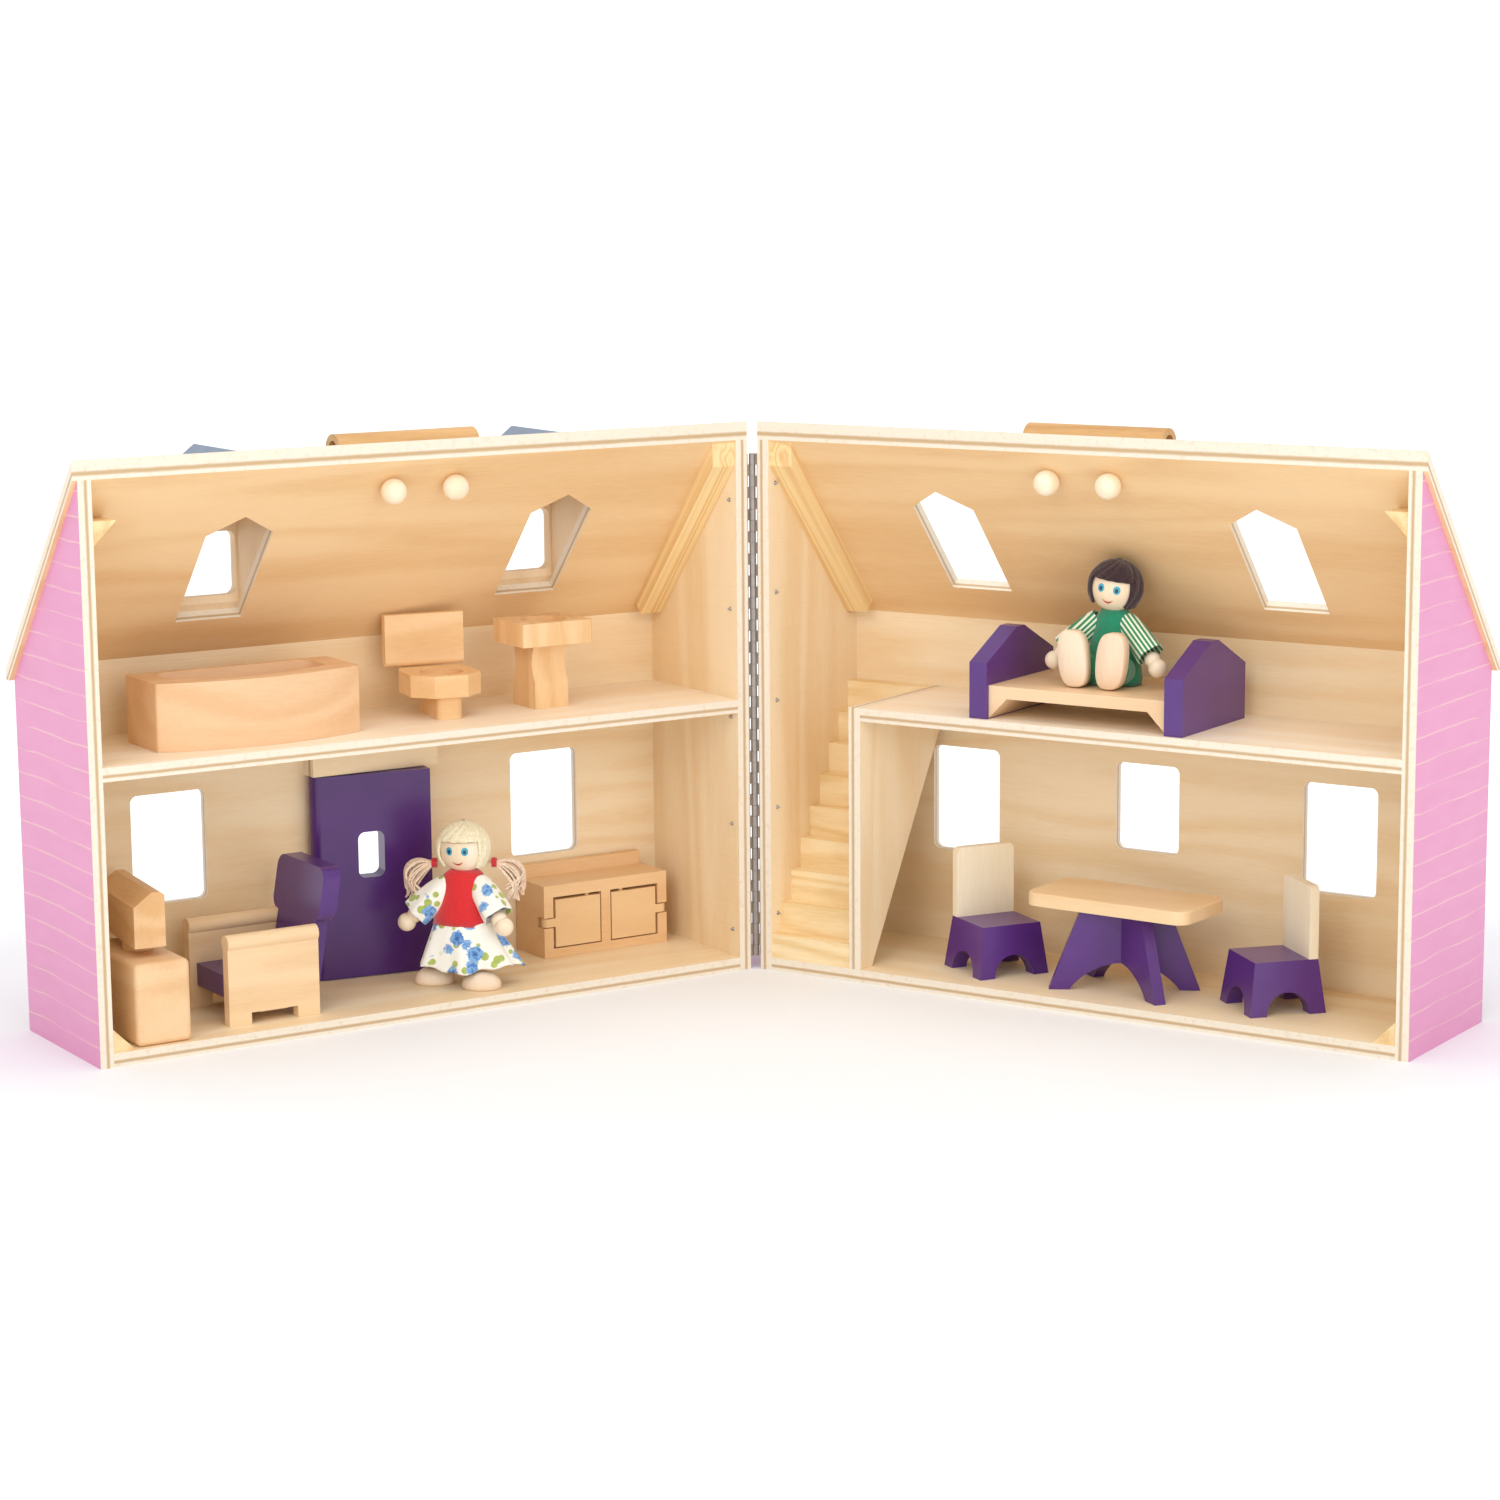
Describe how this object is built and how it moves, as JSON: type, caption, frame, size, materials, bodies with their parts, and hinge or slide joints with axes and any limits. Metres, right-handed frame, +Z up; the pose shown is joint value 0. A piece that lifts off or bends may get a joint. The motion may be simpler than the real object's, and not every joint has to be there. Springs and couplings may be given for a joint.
{
  "type": "folding wooden dollhouse",
  "caption": "Folding wooden dollhouse in two hinged halves with roof handles, stairs, a door, furniture and two dolls.",
  "frame": {"origin": "middle of the footprint at floor level", "axes": "+Z up, +X along the longest extent across both halves, -Y towards the open front"},
  "size_m": [0.678, 0.2624, 0.2716],
  "materials": {
    "pale_ply": "satin",
    "bare_ply": "satin",
    "pink_gable": "satin",
    "grey_roof": "matte",
    "dormer_wood": "satin",
    "dormer_shingle": "matte",
    "pine": "satin",
    "handle_wood": "satin",
    "knob_wood": "satin",
    "steel": "satin",
    "purple_paint": "satin",
    "beech": "satin",
    "doll_skin": "satin",
    "girl_yarn": "matte",
    "boy_yarn": "matte",
    "floral_cloth": "matte",
    "green_felt": "matte",
    "bead_wood": "satin"
  },
  "bodies": {
    "left_half": {"left_floor": "bare_ply", "left_outer_gable": "pink_gable", "left_hinge_gable": "pink_gable", "left_back_wall": "bare_ply", "left_roof": "grey_roof", "left_upper_floor": "bare_ply", "left_roof_batten": "pine", "left_glue_blocks": "pine", "dormer_walls": "dormer_wood", "dormer_roofs": "dormer_shingle", "left_handle_grip": "handle_wood", "left_handle_posts": "knob_wood", "door_header": "bare_ply", "left_hinge_leaf": "steel", "hinge_pin": "steel", "left_hinge_screws": "steel"},
    "right_half": {"right_floor": "bare_ply", "right_outer_gable": "pink_gable", "right_hinge_gable": "pink_gable", "right_back_wall": "bare_ply", "right_roof": "grey_roof", "right_upper_floor": "bare_ply", "right_roof_batten": "pine", "right_glue_blocks": "pine", "right_handle_grip": "handle_wood", "right_handle_posts": "knob_wood", "staircase": "pine", "stair_partition": "pine", "right_hinge_leaf": "steel", "right_hinge_screws": "steel"},
    "door": {"front_door": "purple_paint"},
    "television_stand": {"tv_cabinet": "beech"},
    "television": {"tv_set": "beech"},
    "armchair": {"armchair_arms": "beech", "armchair_seat": "purple_paint", "armchair_back": "purple_paint"},
    "sideboard": {"sideboard_carcass": "beech"},
    "inner_cupboard_door": {"sideboard_inner_door": "beech"},
    "outer_cupboard_door": {"sideboard_outer_door": "beech"},
    "tub": {"bathtub": "beech"},
    "toilet": {"toilet_bowl": "beech"},
    "toilet_seat_lid": {"toilet_lid": "beech"},
    "sink": {"sink_basin": "beech", "sink_pedestal": "beech"},
    "girl_doll": {"girl_head": "doll_skin", "girl_hair": "girl_yarn", "girl_body": "floral_cloth", "girl_limbs": "bead_wood"},
    "table": {"table_top": "beech", "table_legs": "purple_paint"},
    "first_chair": {"first_chair_base": "purple_paint", "first_chair_back": "pale_ply"},
    "second_chair": {"second_chair_base": "purple_paint", "second_chair_back": "pale_ply"},
    "bed": {"bed_ends": "purple_paint", "bed_platform": "beech"},
    "boy_doll": {"boy_head": "doll_skin", "boy_hair": "boy_yarn", "boy_body": "green_felt", "boy_limbs": "bead_wood"}
  },
  "joints": [
    {"name": "fold", "type": "hinge", "parent": "left_half", "child": "right_half", "pos_m": [0, 0.05661, 0.13], "axis": [0, 0, 1], "range_deg": [-113.5, 66]},
    {"name": "door_swing", "type": "hinge", "parent": "left_half", "child": "door", "pos_m": [-0.20707, 0.01192, 0.056], "axis": [0, 0, 1], "range_deg": [-7, 62]},
    {"name": "television_stand_pull", "type": "slide", "parent": "left_half", "child": "television_stand", "axis": [0.5446, -0.8387, 0], "range_m": [0, 0.14]},
    {"name": "television_swivel", "type": "hinge", "parent": "television_stand", "child": "television", "pos_m": [-0.27825, -0.08319, 0.046], "axis": [0, 0, 1], "range_deg": [-28, 28]},
    {"name": "armchair_pull", "type": "slide", "parent": "left_half", "child": "armchair", "axis": [0.5446, -0.8387, 0], "range_m": [0, 0.14]},
    {"name": "sideboard_pull", "type": "slide", "parent": "left_half", "child": "sideboard", "axis": [0.5446, -0.8387, 0], "range_m": [0, 0.14]},
    {"name": "inner_cupboard_hinge", "type": "hinge", "parent": "sideboard", "child": "inner_cupboard_door", "pos_m": [-0.04836, 0.08995, 0.024], "axis": [0, 0, 1], "range_deg": [0, 90]},
    {"name": "outer_cupboard_hinge", "type": "hinge", "parent": "sideboard", "child": "outer_cupboard_door", "pos_m": [-0.10271, 0.05466, 0.024], "axis": [0, 0, 1], "range_deg": [-90, 0]},
    {"name": "tub_pull", "type": "slide", "parent": "left_half", "child": "tub", "axis": [0.5446, -0.8387, 0], "range_m": [0, 0.14]},
    {"name": "toilet_pull", "type": "slide", "parent": "left_half", "child": "toilet", "axis": [0.5446, -0.8387, 0], "range_m": [0, 0.14]},
    {"name": "toilet_lid_fold", "type": "hinge", "parent": "toilet", "child": "toilet_seat_lid", "pos_m": [-0.15764, 0.03037, 0.15835], "axis": [0.9205, 0.3907, 0], "range_deg": [0, 90]},
    {"name": "sink_pull", "type": "slide", "parent": "left_half", "child": "sink", "axis": [0.5446, -0.8387, 0], "range_m": [0, 0.14]},
    {"name": "girl_pull", "type": "slide", "parent": "left_half", "child": "girl_doll", "axis": [0.5446, -0.8387, 0], "range_m": [0, 0.14]},
    {"name": "table_pull", "type": "slide", "parent": "right_half", "child": "table", "axis": [-0.5446, -0.8387, 0], "range_m": [0, 0.14]},
    {"name": "first_chair_pull", "type": "slide", "parent": "right_half", "child": "first_chair", "axis": [-0.5446, -0.8387, 0], "range_m": [0, 0.14]},
    {"name": "second_chair_pull", "type": "slide", "parent": "right_half", "child": "second_chair", "axis": [-0.5446, -0.8387, 0], "range_m": [0, 0.14]},
    {"name": "bed_pull", "type": "slide", "parent": "right_half", "child": "bed", "axis": [-0.5446, -0.8387, 0], "range_m": [0, 0.14]},
    {"name": "boy_pull", "type": "slide", "parent": "bed", "child": "boy_doll", "axis": [-0.5446, -0.8387, 0], "range_m": [0, 0.14]}
  ]
}
